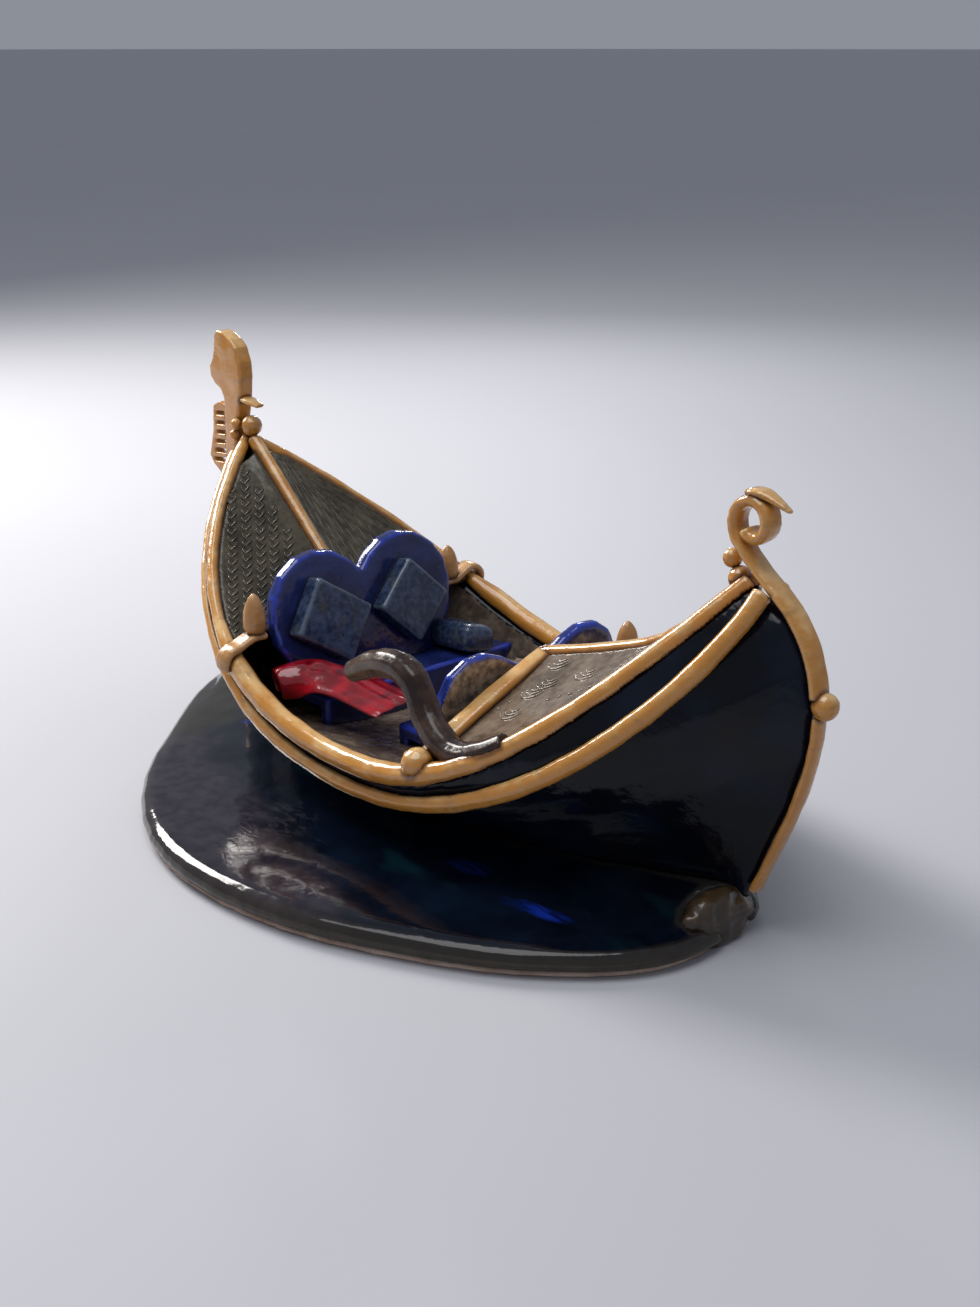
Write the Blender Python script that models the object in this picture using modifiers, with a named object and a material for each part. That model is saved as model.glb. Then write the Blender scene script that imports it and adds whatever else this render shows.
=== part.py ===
"""Ceramic gondola figurine fused to a wave-shaped slab, in metres, bow towards +X and port towards +Y."""

from math import cos, pi, radians, sin

import bmesh
import bpy
from mathutils import Matrix, Vector

# Driving dimensions
GAP = 0.0003            # joint line between two touching pieces
HALF_LENGTH = 0.147     # middle of the boat to each gunwale tip
HALF_BEAM = 0.073       # centre plane to the gunwale's centre line
PLAN_POWER = 3.3        # how full the plan stays towards the tips
SHEER_LOW_X = -0.015    # the gunwale's lowest point lies a little aft of the middle
SHEER_LOW_Z = 0.0424
TIP_Z = 0.128
BOW_RISE = 2.1
STERN_RISE = 2.35
WALL = 0.005            # clay wall of the hull
ROLL_RADIUS = 0.0043    # gunwale roll along the cockpit
BOW_ROLL = 0.60         # share of that radius along the bow deck
STERN_ROLL = 0.78       # and at the stern tip
STRAKE_RADIUS = 0.0034
STRAKE_DROP = 0.0135    # gunwale roll to strake, along the side
BOTTOM_Z = 0.0105       # middle of the hull's bottom wall
BOTTOM_HALF = 0.026
FOOT_REACH = 0.150      # middle of the boat to each end of the keel
STERN_BULGE = 0.0272
BOW_BULGE = 0.022
SIDE_BULGE = 0.009
FOOT_HEIGHT = 0.0024    # unglazed rim under the slab
SLAB_TOP = 0.0105
DECK_THICKNESS = 0.0035
BAND_WIDTH = 0.009      # flat clay bands over the two end edges
BAND_THICKNESS = 0.0034
RIM_SHARE = 0.72        # the roll's centre lies this share of its radius above the hull's rim

STATIONS = 40           # along the boat
SIDE_ROWS = 7           # down the side
ROLL_POINTS = 36        # along each gunwale roll
LEAST_LEFT = 0.1        # share of a piece that a cut leaves, or more

# Outline of the slab seen from above, counter-clockwise from the stern foot: x, y
SLAB_OUTLINE = [
    (-0.153, -0.008), (-0.120, -0.034), (-0.060, -0.060), (0.000, -0.068), (0.060, -0.062), (0.115, -0.046),
    (0.158, -0.024), (0.173, 0.000), (0.160, 0.026), (0.131, 0.058), (0.090, 0.098), (0.045, 0.124),
    (0.000, 0.132), (-0.048, 0.125), (-0.089, 0.1075), (-0.120, 0.0885), (-0.145, 0.0645), (-0.1565, 0.044),
    (-0.159, 0.024), (-0.156, 0.006),
]

for old in list(bpy.data.objects):
    bpy.data.objects.remove(old, do_unlink=True)

pieces = bpy.data.collections.new("gondola_figurine")
cutters = bpy.data.collections.new("cutters")
bpy.context.scene.collection.children.link(pieces)
bpy.context.scene.collection.children.link(cutters)
root = bpy.data.objects.new("figurine_root", None)
pieces.objects.link(root)


def glaze(name, colour, roughness=0.2):
    """Make one plain material."""
    material = bpy.data.materials.new(name)
    material.use_nodes = True
    shader = material.node_tree.nodes["Principled BSDF"]
    shader.inputs["Base Color"].default_value = (*colour, 1.0)
    shader.inputs["Roughness"].default_value = roughness
    return material


AMBER = glaze("amber_glaze", (0.50, 0.25, 0.07))
OCHRE = glaze("ochre_clay", (0.45, 0.26, 0.10), 0.45)
NIGHT = glaze("night_blue_glaze", (0.004, 0.006, 0.014), 0.08)
SEA = glaze("sea_glaze", (0.006, 0.010, 0.022), 0.08)
BARE = glaze("bare_clay", (0.62, 0.45, 0.36), 0.85)
OLIVE = glaze("olive_glaze", (0.07, 0.06, 0.04), 0.3)
COBALT = glaze("cobalt_glaze", (0.02, 0.03, 0.20))
SLATE = glaze("slate_glaze", (0.03, 0.05, 0.11), 0.4)
RED = glaze("red_glaze", (0.45, 0.01, 0.02))
UMBER = glaze("umber_glaze", (0.03, 0.017, 0.012))


def place(name, mesh, material, smooth=40):
    """Put a mesh in the scene as one named piece."""
    mesh.shade_smooth()
    mesh.set_sharp_from_angle(angle=radians(smooth))
    mesh.materials.clear()
    mesh.materials.append(material)
    piece = bpy.data.objects.new(name, mesh)
    piece.parent = root
    pieces.objects.link(piece)
    return piece


def evaluated_mesh(thing):
    """Copy the mesh that an object shows, with its modifiers applied."""
    bpy.context.view_layer.update()
    return bpy.data.meshes.new_from_object(thing.evaluated_get(bpy.context.evaluated_depsgraph_get()))


def settle(piece):
    """Turn a piece's modifiers into its own mesh."""
    mesh = evaluated_mesh(piece)
    piece.modifiers.clear()
    piece.data = mesh
    return piece


def closed_volume(mesh):
    """Volume of a mesh, or zero where it is open."""
    shape = bmesh.new()
    shape.from_mesh(mesh)
    volume = shape.calc_volume() if all(edge.is_manifold for edge in shape.edges) else 0.0
    shape.free()
    return volume


def cut(piece, cutter, operation="DIFFERENCE"):
    """Apply one Boolean as the piece's mesh, by the second solver where the first leaves it open or all but gone."""
    least = closed_volume(piece.data) * LEAST_LEFT
    for solver in ("EXACT", "MANIFOLD"):
        boolean = piece.modifiers.new("cut", "BOOLEAN")
        boolean.operation = operation
        boolean.solver = solver
        boolean.object = cutter
        mesh = evaluated_mesh(piece)
        piece.modifiers.clear()
        if closed_volume(mesh) > least:
            break
    piece.data = mesh


def keep_main_body(piece):
    """Drop the crumbs that a cut leaves apart from a piece's main body."""
    shape = bmesh.new()
    shape.from_mesh(piece.data)
    bodies = []
    waiting = set(shape.verts)
    while waiting:
        body = {waiting.pop()}
        front = list(body)
        while front:
            vert = front.pop()
            near = {edge.other_vert(vert) for edge in vert.link_edges} - body
            body |= near
            front += near
        waiting -= body
        bodies.append(body)
    bodies.sort(key=len)
    crumbs = [vert for body in bodies[:-1] for vert in body]
    bmesh.ops.delete(shape, geom=crumbs, context="VERTS")
    shape.to_mesh(piece.data)
    shape.free()


def as_cutter(piece):
    """Move a piece to the cutters, which are no part of the figurine."""
    pieces.objects.unlink(piece)
    cutters.objects.link(piece)
    piece.hide_render = True
    piece.display_type = "WIRE"
    return piece


def into_triangles(piece):
    """Fix how a piece's bent quads split, so that a grown copy of it splits the same way."""
    shape = bmesh.new()
    shape.from_mesh(piece.data)
    bmesh.ops.triangulate(shape, faces=shape.faces, quad_method="FIXED")
    shape.to_mesh(piece.data)
    shape.free()
    return piece


def seat(piece, *neighbours):
    """Trim a piece where it was pressed onto its neighbours, which leaves the joint line between them."""
    for neighbour in neighbours:
        into_triangles(neighbour)
        grown = bpy.data.objects.new("cutter_" + neighbour.name, neighbour.data.copy())
        grown.parent = root
        pieces.objects.link(grown)
        as_cutter(grown)
        swell = grown.modifiers.new("swell", "DISPLACE")
        swell.strength = GAP
        swell.mid_level = 0.0
        cut(piece, grown)
    keep_main_body(piece)
    return piece


def loft(name, rings, material, closed=True, smooth=40):
    """Skin a run of rings with the same number of points; closed rings get flat ends."""
    shape = bmesh.new()
    rows = [[shape.verts.new(point) for point in ring] for ring in rings]
    count = len(rows[0])
    for near, far in zip(rows, rows[1:]):
        for i in range(count if closed else count - 1):
            j = (i + 1) % count
            shape.faces.new((near[i], near[j], far[j], far[i]))
    if closed:
        shape.faces.new(rows[0])
        shape.faces.new(rows[-1])
    bmesh.ops.remove_doubles(shape, verts=shape.verts, dist=1e-6)
    bmesh.ops.recalc_face_normals(shape, faces=shape.faces)
    mesh = bpy.data.meshes.new(name)
    shape.to_mesh(mesh)
    shape.free()
    return place(name, mesh, material, smooth)


def sheet(name, grid, thickness, material, offset=0.0):
    """Give an open grid of points a clay thickness."""
    piece = loft(name, grid, material, closed=False)
    solid = piece.modifiers.new("clay", "SOLIDIFY")
    solid.thickness = thickness
    solid.offset = offset
    return settle(piece)


def rod(name, points, radius, material, radii=None, resolution=2):
    """Roll of clay along a line of points, as a bevelled curve with filled ends made into a mesh."""
    curve = bpy.data.curves.new(name, "CURVE")
    curve.dimensions = "3D"
    curve.bevel_depth = radius
    curve.bevel_resolution = resolution
    curve.use_fill_caps = True
    line = curve.splines.new("POLY")
    line.points.add(len(points) - 1)
    for i, point in enumerate(points):
        line.points[i].co = (*point, 1.0)
        line.points[i].radius = radii[i] if radii else 1.0
    return from_curve(name, curve, material)


def from_curve(name, curve, material, smooth=40):
    """Make a curve into a mesh piece with its caps welded on."""
    guide = bpy.data.objects.new(name, curve)
    pieces.objects.link(guide)
    mesh = evaluated_mesh(guide)
    bpy.data.objects.remove(guide, do_unlink=True)
    shape = bmesh.new()
    shape.from_mesh(mesh)
    bmesh.ops.remove_doubles(shape, verts=shape.verts, dist=1e-5)
    bmesh.ops.recalc_face_normals(shape, faces=shape.faces)
    shape.to_mesh(mesh)
    shape.free()
    return place(name, mesh, material, smooth)


def plate(name, outlines, thickness, material, edge=0.0006):
    """Flat clay plate standing in the plane of the boat's length and height; later outlines are holes."""
    curve = bpy.data.curves.new(name, "CURVE")
    curve.dimensions = "2D"
    curve.fill_mode = "BOTH"
    curve.extrude = thickness / 2 - edge
    curve.bevel_depth = edge
    curve.bevel_resolution = 0
    curve.offset = -edge
    for outline in outlines:
        line = curve.splines.new("POLY")
        line.points.add(len(outline) - 1)
        line.use_cyclic_u = True
        for i, (x, z) in enumerate(outline):
            line.points[i].co = (x, z, 0.0, 1.0)
    piece = from_curve(name, curve, material)
    piece.data.transform(Matrix.Rotation(pi / 2, 4, "X"))
    return piece


def ball(name, centre, radius, material, segments=14):
    """Ball of clay."""
    shape = bmesh.new()
    bmesh.ops.create_uvsphere(shape, u_segments=segments, v_segments=segments // 2 + 1, radius=radius)
    bmesh.ops.translate(shape, verts=shape.verts, vec=centre)
    mesh = bpy.data.meshes.new(name)
    shape.to_mesh(mesh)
    shape.free()
    return place(name, mesh, material, 60)


def strap(name, points, side, width, thickness, material, taper=None, around=10, swell=None):
    """Flat clay band along a line, whose width lies along side; taper scales it all, swell its thickness alone."""
    rings = []
    last = len(points) - 1
    for i, point in enumerate(points):
        along = (points[min(i + 1, last)] - points[max(i - 1, 0)]).normalized()
        across = (side - along * side.dot(along)).normalized()
        up = along.cross(across)
        scale = taper[i] if taper else 1.0
        thick = thickness / 2 * scale * (swell[i] if swell else 1.0)
        ring = []
        for k in range(around):
            turn = 2 * pi * (k + 0.5) / around
            wide = across * (width / 2 * scale * abs(cos(turn)) ** 0.6 * (1 if cos(turn) > 0 else -1))
            ring.append(point + wide + up * (thick * sin(turn)))
        rings.append(ring)
    return loft(name, rings, material)


def smooth_line(points, count, cyclic=False):
    """Points read from a smooth curve through a few chosen ones."""
    points = [Vector(point) for point in points]
    total = len(points)
    spans = total if cyclic else total - 1
    result = []
    for k in range(count):
        place_on = k * spans / (count if cyclic else count - 1)
        i = min(int(place_on), spans - 1)
        f = place_on - i
        if cyclic:
            a, b, c, d = (points[(i + j) % total] for j in (-1, 0, 1, 2))
        else:
            b, c = points[i], points[i + 1]
            a = points[i - 1] if i else b * 2 - c
            d = points[i + 2] if i + 2 < total else c * 2 - b
        result.append((b * 2 + (c - a) * f + (a * 2 - b * 5 + c * 4 - d) * f ** 2
                       + (b * 3 - a - c * 3 + d) * f ** 3) * 0.5)
    return result


def sheer(t, side=1):
    """Centre line of the gunwale roll, t from -1 at the stern tip to 1 at the bow tip."""
    x = HALF_LENGTH * t
    if x > SHEER_LOW_X:
        rise = ((x - SHEER_LOW_X) / (HALF_LENGTH - SHEER_LOW_X)) ** BOW_RISE
    else:
        rise = ((SHEER_LOW_X - x) / (HALF_LENGTH + SHEER_LOW_X)) ** STERN_RISE
    y = side * HALF_BEAM * (1 - abs(t) ** PLAN_POWER)
    return Vector((x, y, SHEER_LOW_Z + (TIP_Z - SHEER_LOW_Z) * rise))


def hull_side(t, drop, side=1):
    """Middle of the hull's wall, drop from 0 at the gunwale roll to 1 at the bottom's edge."""
    top = sheer(t, side)
    foot = Vector((FOOT_REACH * t, side * BOTTOM_HALF * (1 - abs(t) ** 2.5), BOTTOM_Z))
    point = top.lerp(foot, drop)
    if t < 0:
        point.x -= STERN_BULGE * abs(t) ** 3 * sin(pi * drop ** 0.62)
    else:
        point.x += BOW_BULGE * t ** 3 * sin(pi * drop ** 1.3)
    fullness = (1 - t * t) ** 1.5 if t > 0 else 1 - t ** 4
    point.y += side * SIDE_BULGE * fullness * sin(pi * drop ** 0.9)
    return point


def roll_share(t):
    """Radius of the gunwale roll as a share of its radius along the cockpit."""
    if t > 0.5:
        return BOW_ROLL
    if t > 0.4:
        return 1 + (BOW_ROLL - 1) * (t - 0.4) / 0.1
    if t < -0.4:
        return 1 + (STERN_ROLL - 1) * (-0.4 - t) / 0.6
    return 1.0


def side_length(t):
    """Rough height of the hull's side along its slope."""
    return (hull_side(t, 0) - hull_side(t, 0.5)).length + (hull_side(t, 0.5) - hull_side(t, 1)).length


def spread(count, low=-1.0, high=1.0):
    """Values from low to high that lie closer together towards the boat's tips."""
    return [sin(pi / 2 * (low + (high - low) * i / (count - 1))) for i in range(count)]


def bow_share(t):
    """From 0 along the cockpit to 1 along the bow deck, where the strake thins and comes up under the gunwale."""
    return min(max(t - 0.3, 0) / 0.3, 1)


def outward(t, drop, side=1):
    """Direction straight out of the hull's side."""
    step = 0.01
    along = hull_side(min(t + step, 1), drop, side) - hull_side(max(t - step, -1), drop, side)
    down = hull_side(t, min(drop + step, 1), side) - hull_side(t, max(drop - step, 0), side)
    normal = along.cross(down).normalized()
    return normal if normal.y * side > 0 else -normal


DOWN = Vector((0, 0, -1))


def hull_solid(name, offset, lift=0.0, reach=1.0):
    """Closed block of the hull's shape, offset from the middle of its wall, with its open top lifted."""
    rings = []
    for t in spread(STATIONS + 1, -reach, reach):
        first = ROLL_RADIUS * roll_share(t) * RIM_SHARE / side_length(t)
        half = []
        for row in range(SIDE_ROWS + 1):
            drop = first + (1 - first) * (row / SIDE_ROWS) ** 1.4
            middle = hull_side(t, drop) if row else sheer(t) + (hull_side(t, first) - sheer(t)).project(DOWN)
            point = middle + outward(t, drop) * offset
            point.y = 0.0 if abs(t) == 1 else max(point.y, 0.0004)
            half.append(point)
        half[-1].z = BOTTOM_Z - offset
        if lift:
            half.insert(0, half[0] + Vector((0, 0, lift)))
        keel = Vector((half[-1].x, 0.0, BOTTOM_Z - offset))
        rings.append(half + [keel] + [Vector((point.x, -point.y, point.z)) for point in reversed(half)])
    return into_triangles(loft(name, rings, NIGHT))


# Hull: the outer block less its cavity, whose ends stop short so that the tips are full clay
hull = hull_solid("hull_shell", WALL / 2)
cavity = as_cutter(hull_solid("cutter_cavity", -WALL / 2, 0.030, 0.80))
cut(hull, cavity)
seat_block = as_cutter(hull_solid("cutter_hull_block", WALL / 2 + GAP, 0.010))
core = as_cutter(hull_solid("cutter_hull_core", 0.0, 0.050))

# Slab: rings from its underside to the top, where the glazed water swells up against the hull
outline = smooth_line([(x, y, 0.0) for x, y in SLAB_OUTLINE], 54, cyclic=True)


def slab_ring(reach, z, inset=0.0, along=1.0):
    """The slab's outline drawn in towards the boat's centre line, at one height."""
    ring = []
    for point in outline:
        shrink = 1 - inset / Vector((point.x * 0.5, point.y)).length
        ring.append(Vector((point.x * shrink * along, point.y * shrink * reach, z)))
    return ring


foot = loft("base_foot", [slab_ring(1, 0.0, 0.0018), slab_ring(1, FOOT_HEIGHT, 0.0010)], BARE)
slab = loft("base_slab", [
    slab_ring(1, FOOT_HEIGHT + GAP, 0.0010),
    slab_ring(1, FOOT_HEIGHT + 0.0016, 0.0002),
    slab_ring(1, 0.0062),
    slab_ring(1, SLAB_TOP - 0.0014, 0.0016),
    slab_ring(1, SLAB_TOP, 0.0052),
    slab_ring(0.66, SLAB_TOP + 0.0012, 0.0, 0.97),
    slab_ring(0.42, SLAB_TOP + 0.0040, 0.0, 0.96),
    slab_ring(0.24, SLAB_TOP + 0.0085, 0.0, 0.95),
    slab_ring(0.08, SLAB_TOP + 0.0095, 0.0, 0.94),
], SEA)

# Bands along the two end edges of the hull, and the scroll that the sternpost band ends in
ahead = Vector((1, 0, 0))
portward = Vector((0, 1, 0))
band_out = WALL / 2 + BAND_THICKNESS * 0.4


def end_edge(end, low, high, count):
    """Points just outside the stern edge (end -1) or the bow edge (end 1)."""
    points = []
    for i in range(count):
        drop = low + (high - low) * i / (count - 1)
        along = hull_side(end, min(drop + 0.01, 1)) - hull_side(end, max(drop - 0.01, 0))
        out = along.cross(portward).normalized()
        out = out if out.x * end > 0 else -out
        points.append(hull_side(end, drop) + out * band_out)
    return points


BALL_DROP = 0.30
SCROLL_CENTRE = Vector((-0.1487, 0.0, 0.1488))
SCROLL_OUTER = 0.0090
SCROLL_INNER = 0.0040
SCROLL_TURNS = 19       # steps of 20 degrees
scroll = []
for k in range(SCROLL_TURNS + 1):
    turn = radians(-62 + 20 * k)
    radius = SCROLL_OUTER + (SCROLL_INNER - SCROLL_OUTER) * k / SCROLL_TURNS
    scroll.append(SCROLL_CENTRE + Vector((cos(turn) * radius, 0, sin(turn) * radius * 1.08)))
post_line = end_edge(-1, BALL_DROP - 0.02, 0.05, 7)
post_line = smooth_line(post_line + [Vector((-0.1500, 0, 0.1345))] + scroll[:1], 14) + scroll[1:]
post_taper = [1.0] * 14 + [0.95] * SCROLL_TURNS
post_swell = [1.0] * 14 + [1.35] * SCROLL_TURNS
post = strap("sternpost_band", post_line, portward, BAND_WIDTH, BAND_THICKNESS, AMBER, post_taper, swell=post_swell)
seat(post, hull)

lower_line = end_edge(-1, BALL_DROP + 0.035, 0.93, 10)
lower = strap("stern_lower_band", lower_line, portward, 0.0062, 0.0028, AMBER)
seat(lower, hull)

stem_line = end_edge(1, 0.22, 0.90, 11)
stem = strap("stem_band", stem_line, portward, 0.0075, 0.0030, AMBER)
seat(stem, hull)

leaf_line = smooth_line([(-0.1445, 0, 0.1585), (-0.1500, 0, 0.1590), (-0.1552, 0, 0.1578), (-0.1625, 0, 0.1548)], 8)
leaf = strap("scroll_leaf", leaf_line, portward, 0.0070, 0.0030, AMBER, [0.7, 1, 1, 1, 0.85, 0.7, 0.5, 0.25], 8)
seat(leaf, post)

cut(slab, seat_block)
seat(slab, lower, stem)

# Gunwale rolls and rubbing strakes, port then starboard, each half cut off at the centre plane


def keep_side(piece, side):
    """Cut a piece off at the centre plane, half a joint line short of it."""
    shape = bmesh.new()
    shape.from_mesh(piece.data)
    geometry = shape.verts[:] + shape.edges[:] + shape.faces[:]
    plane = Vector((0, side * GAP / 2, 0))
    result = bmesh.ops.bisect_plane(shape, geom=geometry, plane_co=plane, plane_no=(0, -side, 0), clear_outer=True)
    edges = [item for item in result["geom_cut"] if isinstance(item, bmesh.types.BMEdge)]
    bmesh.ops.edgeloop_fill(shape, edges=edges)
    bmesh.ops.recalc_face_normals(shape, faces=shape.faces)
    shape.to_mesh(piece.data)
    shape.free()


SIDES = {"port": 1, "starboard": -1}
gunwales = {}
strakes = {}
for word, side in SIDES.items():
    along = spread(ROLL_POINTS)
    shares = [roll_share(t) for t in along]
    gunwales[word] = rod("gunwale_" + word, [sheer(t, side) for t in along], ROLL_RADIUS, AMBER, shares)
    keep_side(gunwales[word], side)
    seat(gunwales[word], hull, post)
    line = []
    reach = spread(ROLL_POINTS, -0.94, 0.90)
    for t in reach:
        rise = 0.5 * bow_share(t) if t > 0 else 0.8 * t ** 6
        drop = STRAKE_DROP * (1 - rise) / side_length(t)
        line.append(hull_side(t, drop, side) + outward(t, drop, side) * (WALL / 2 + STRAKE_RADIUS * 0.5))
    thinning = [1 - 0.4 * bow_share(t) for t in reach]
    strakes[word] = rod("strake_" + word, line, STRAKE_RADIUS, AMBER, thinning)
    keep_side(strakes[word], side)
    seat(strakes[word], hull, post, gunwales[word])

# Balls at the stern: one where the two edge bands meet, two at the gunwales' tips
BALL_RADIUS = 0.0046
edge_ball_at = end_edge(-1, BALL_DROP, 0.5, 2)[0] + Vector((-0.0022, 0, 0))
edge_ball = seat(ball("stern_edge_ball", edge_ball_at, BALL_RADIUS, AMBER), hull, post, lower)
TIP_BALLS = {
    "stern_tip_ball_lower": ((-0.1428, 0.0, 0.1285), 0.0041),
    "stern_tip_ball_upper": ((-0.1393, 0.0, 0.1345), 0.0033),
}
tip_balls = []
for name, (centre, radius) in TIP_BALLS.items():
    tip_balls.append(seat(ball(name, centre, radius, AMBER, 10), hull, post, *gunwales.values(), *tip_balls))

# Bow iron in clay: the blade with its neck down the stem, the comb ahead of it, the tooth behind it
BLADE = [
    (0.1600, 0.1000), (0.1560, 0.1080), (0.1530, 0.1170), (0.1505, 0.1280), (0.1482, 0.1400), (0.1462, 0.1480),
    (0.1455, 0.1550), (0.1460, 0.1620), (0.1485, 0.1680), (0.1530, 0.1715), (0.1585, 0.1738), (0.1632, 0.1742),
    (0.1652, 0.1715), (0.1662, 0.1655), (0.1672, 0.1610), (0.1698, 0.1572), (0.1698, 0.1530), (0.1665, 0.1497),
    (0.1618, 0.1478), (0.1597, 0.1440), (0.1595, 0.1300), (0.1603, 0.1170), (0.1625, 0.1080), (0.1652, 0.1000),
]
blade = plate("ferro_blade", [BLADE], 0.0070, AMBER)
seat(blade, hull, *gunwales.values(), stem)

COMB = [
    (0.1590, 0.1400), (0.1650, 0.1415), (0.1700, 0.1390), (0.1712, 0.1265), (0.1748, 0.1150), (0.1720, 0.1115),
    (0.1650, 0.1075), (0.1600, 0.1090),
]
TINES = 6
TINE_PITCH = 0.0044
comb_outlines = [COMB]
for i in range(TINES):
    top = 0.1378 - TINE_PITCH * i
    reach = 0.1685 + 0.0030 * max(0, i - 2) / 3
    comb_outlines.append([(0.1612, top), (reach, top - 0.0008), (reach, top - 0.0032), (0.1612, top - 0.0024)])
comb = seat(plate("ferro_comb", comb_outlines, 0.0050, AMBER, 0.0), blade)

tooth_line = [Vector((0.1480, 0, 0.1452)), Vector((0.1420, 0, 0.1446)), Vector((0.1360, 0, 0.1434))]
tooth = seat(strap("ferro_tooth", tooth_line, portward, 0.0068, 0.0022, AMBER, [1.0, 1.0, 0.7], 8), blade)

BOW_BALLS = {
    "bow_ball": ((0.1434, 0.0, 0.1334), 0.0046),
    "bow_ball_small_upper": ((0.1485, 0.0048, 0.1340), 0.0024),
    "bow_ball_small_lower": ((0.1500, 0.0050, 0.1290), 0.0022),
}
bow_balls = []
for name, (centre, radius) in BOW_BALLS.items():
    bow_balls.append(seat(ball(name, centre, radius, AMBER, 10), hull, blade, *gunwales.values(), *bow_balls))

# Decks: a trim along each ridge, bands along the stern deck's front edge, and two sloping panels at each end
bow_ridge_line = smooth_line([(0.1420, 0, 0.1275), (0.1190, 0, 0.1075), (0.0960, 0, 0.0870), (0.0730, 0, 0.0690)], 8)
stern_ridge_line = smooth_line([(-0.0500, 0, 0.0765), (-0.0840, 0, 0.0870), (-0.1120, 0, 0.0985),
                                (-0.1380, 0, 0.1200)], 10)
bow_ridge = rod("bow_ridge_trim", bow_ridge_line, 0.0030, AMBER)
seat(bow_ridge, hull, *gunwales.values(), bow_balls[0])
stern_ridge = rod("stern_ridge_trim", stern_ridge_line, 0.0028, AMBER)
seat(stern_ridge, hull, *gunwales.values(), *tip_balls)

DECK_BOW_T = (0.475, 0.955)
DECK_STERN_T = (-0.365, -0.945)
front_bands = {}
panels = {}
for word, side in SIDES.items():
    start = Vector((-0.0508, 0, 0.0775))
    finish = sheer(DECK_STERN_T[0], side) + Vector((0, -side * 0.002, 0.0035))
    line = [start.lerp(finish, i / 6) + Vector((0, 0, 0.0016 * sin(pi * i / 6))) for i in range(7)]
    band = strap("stern_deck_band_" + word, line, ahead, 0.0078, 0.0042, AMBER)
    keep_side(band, side)
    front_bands[word] = seat(band, hull, gunwales[word], stern_ridge)
    for end, ridge, (near, far), trims in (
        ("bow", bow_ridge_line, DECK_BOW_T, [bow_ridge, blade]),
        ("stern", stern_ridge_line, DECK_STERN_T, [stern_ridge, band, post]),
    ):
        along = list(reversed(ridge)) if end == "bow" else list(ridge)
        along[-1] = along[-2].lerp(along[-1], 0.6)
        deck = []
        for i, crest in enumerate(along):
            share = (i if i < len(along) - 1 else i - 0.4) / (len(along) - 1)
            edge = sheer(near + (far - near) * share, side)
            crest = crest + Vector((0, 0, -0.0006))
            row = [crest.lerp(edge, k / 5) + Vector((0, 0, -0.0012 * sin(pi * k / 5))) for k in range(6)]
            deck.append(row)
        panel = sheet(end + "_deck_" + word, deck, DECK_THICKNESS, OLIVE)
        keep_side(panel, side)
        panels[end, word] = seat(panel, hull, gunwales[word], *trims)

knot_at = sheer(-0.385) + Vector((0.001, -0.0005, 0.0040))
knot = ball("gunwale_knot", knot_at, 0.0062, AMBER, 12)
seat(knot, gunwales["port"], hull, panels["stern", "port"])
seat(front_bands["port"], knot)

# Finials: an egg of clay on a doubled strap that wraps the gunwale roll and reaches inboard
FINIAL_RADIUS = 0.0047
# Each finial's place along the gunwale, its side, how far inboard and up its strap reaches, and its own height
FINIALS = {
    "bow_port": (0.415, "port", 0.0140, 0.0085, 0.0165),
    "bow_starboard": (0.485, "starboard", 0.0160, 0.0008, 0.0150),
    "stern_starboard": (-0.272, "starboard", 0.0200, 0.0125, 0.0165),
}
egg = [(0.70, 0.0), (0.98, 0.16), (1.0, 0.38), (0.90, 0.58), (0.70, 0.77), (0.42, 0.92), (0.0, 1.0)]
for word, (t, hand, reach, lift, height) in FINIALS.items():
    side = SIDES[hand]
    centre = sheer(t, side)
    inboard = Vector((0, -side, 0))
    wrap = ROLL_RADIUS + 0.0012
    line = []
    for k in range(7):
        turn = radians(-25 + 20 * k)
        line.append(centre - inboard * (cos(turn) * wrap) + Vector((0, 0, sin(turn) * wrap)))
    tray = centre + inboard * reach + Vector((0, 0, lift))
    line += [tray - inboard * 0.0062, tray]
    bracket = strap("finial_bracket_" + word, line, ahead, 0.0088, 0.0030, OCHRE)
    end = word.split("_")[0]
    seat(bracket, gunwales[hand], hull, strakes[hand], panels[end, hand])
    rings = []
    base = tray - inboard * 0.0036 + Vector((0, 0, 0.0009))
    for width, rise in egg[:-1]:
        ring = []
        for k in range(12):
            turn = 2 * pi * k / 12
            spoke = Vector((cos(turn), sin(turn), 0)) * (width * FINIAL_RADIUS)
            ring.append(base + spoke + Vector((0, 0, rise * height)))
        rings.append(ring)
    tip = base + Vector((0, 0, height))
    rings.append([tip + (point - tip) * 0.25 + Vector((0, 0, 0.0006)) for point in rings[-1]])
    finial = loft("finial_" + word, rings, OCHRE)
    seat(finial, bracket, panels[end, hand])
    if end == "stern":
        seat(front_bands[hand], bracket, finial)

# Forcola: the dark rowlock arm that leaves the port gunwale, rises and turns towards the bow
forcola_line = smooth_line([
    (-0.0900, 0.0575, 0.0672), (-0.0823, 0.0603, 0.0615), (-0.0735, 0.0612, 0.0580), (-0.0646, 0.0610, 0.0574),
    (-0.0552, 0.0600, 0.0608), (-0.0475, 0.0585, 0.0662), (-0.0425, 0.0575, 0.0730), (-0.0375, 0.0570, 0.0780),
    (-0.0282, 0.0565, 0.0795), (-0.0146, 0.0560, 0.0761), (-0.0013, 0.0560, 0.0695),
], 22)
forcola_radii = [0.78, 0.88, 0.95] + [1.0] * 15 + [0.96, 0.9, 0.84, 0.74]
forcola = rod("forcola", forcola_line, 0.0057, UMBER, forcola_radii, 3)
seat(forcola, gunwales["port"], hull, front_bands["port"], panels["stern", "port"], knot)

# Seats: two benches against the hull's starboard wall, each with a two-lobed back
BENCH_THICKNESS = 0.0050


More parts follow.
